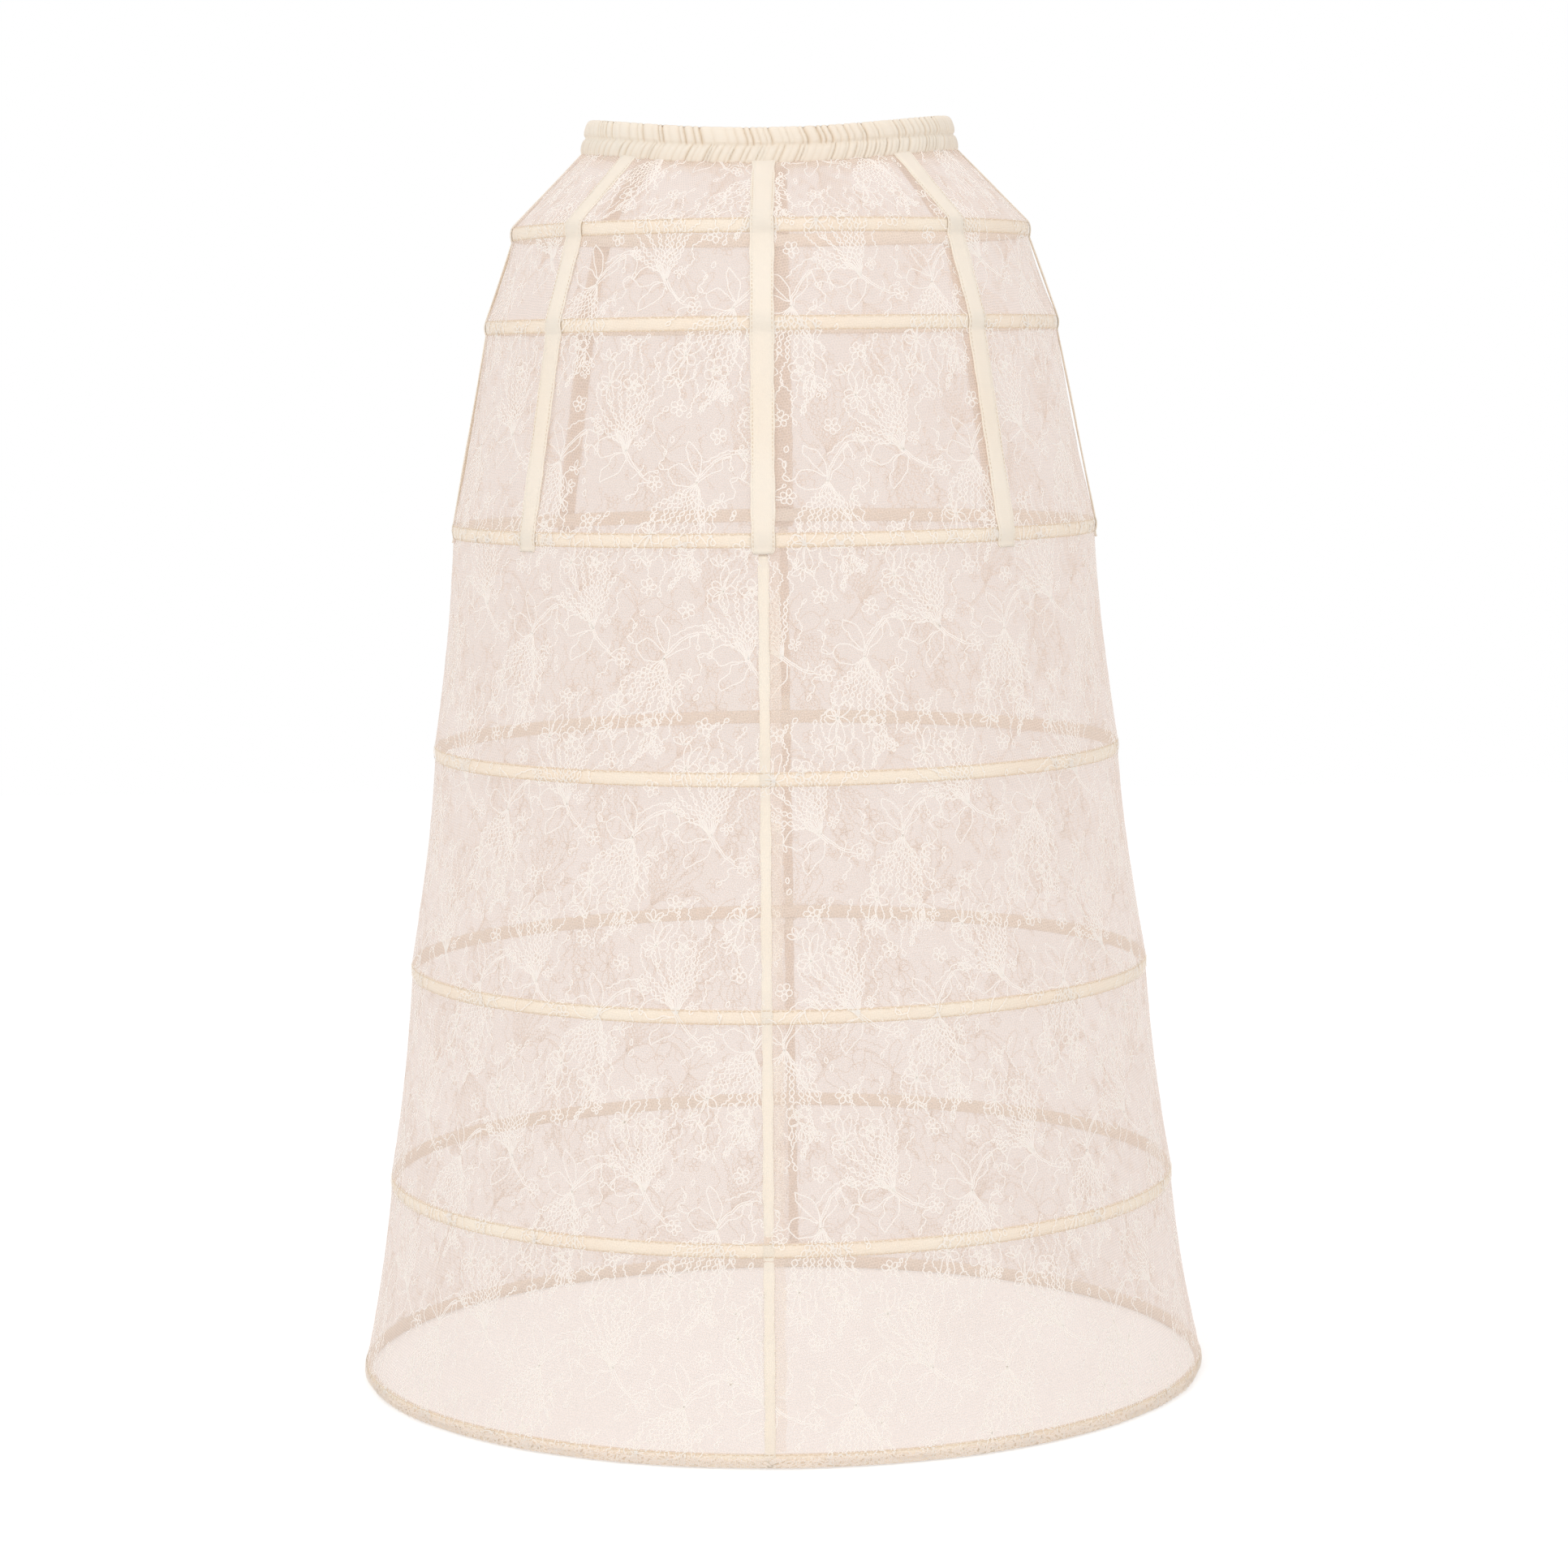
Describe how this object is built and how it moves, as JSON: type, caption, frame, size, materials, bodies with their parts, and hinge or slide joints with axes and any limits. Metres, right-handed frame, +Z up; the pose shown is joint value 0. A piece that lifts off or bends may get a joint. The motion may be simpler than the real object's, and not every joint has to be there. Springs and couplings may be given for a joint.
{
  "type": "crinoline cage",
  "caption": "Standing bell-shaped crinoline cage: see-through floral lace over sprung hoops in cloth casings, hung by tapes from a gathered elastic waistband.",
  "frame": {"origin": "on the floor under the middle of the skirt, at the middle of the hem", "axes": "+Z up; the front faces -Y; left and right are the wearer's, so left is +X"},
  "size_m": [0.604, 0.606, 0.8905],
  "materials": {
    "lace": "corded floral net",
    "casing_cloth": "plain woven cotton",
    "cotton_tape": "twill weave",
    "waistband_cotton": "gathered plain weave",
    "elastic": "ribbed webbing",
    "hoop_strip": "white plastic cover on spring steel",
    "joiner_metal": "tinned, crimped"
  },
  "bodies": {
    "root": {"waistband": "waistband_cotton", "lower_waist_elastic": "elastic", "upper_waist_elastic": "elastic", "left_lace_panel": "lace", "right_lace_panel": "lace", "front_seam_strip": "cotton_tape", "back_seam_strip": "cotton_tape", "front_tape": "cotton_tape", "front_left_tape": "cotton_tape", "left_tape": "cotton_tape", "back_left_tape": "cotton_tape", "back_tape": "cotton_tape", "back_right_tape": "cotton_tape", "right_tape": "cotton_tape", "front_right_tape": "cotton_tape", "hoop_1": "hoop_strip", "hoop_1_joiner": "joiner_metal", "hoop_1_casing": "casing_cloth", "hoop_2": "hoop_strip", "hoop_2_joiner": "joiner_metal", "hoop_2_casing": "casing_cloth", "hoop_3": "hoop_strip", "hoop_3_joiner": "joiner_metal", "hoop_3_casing": "casing_cloth", "hoop_4": "hoop_strip", "hoop_4_joiner": "joiner_metal", "hoop_4_casing": "casing_cloth", "hoop_5": "hoop_strip", "hoop_5_joiner": "joiner_metal", "hoop_5_casing": "casing_cloth", "hoop_6": "hoop_strip", "hoop_6_joiner": "joiner_metal", "hoop_6_casing": "casing_cloth", "hem_hoop": "hoop_strip", "hem_hoop_joiner": "joiner_metal", "hem_hoop_casing": "casing_cloth"}
  },
  "joints": []
}
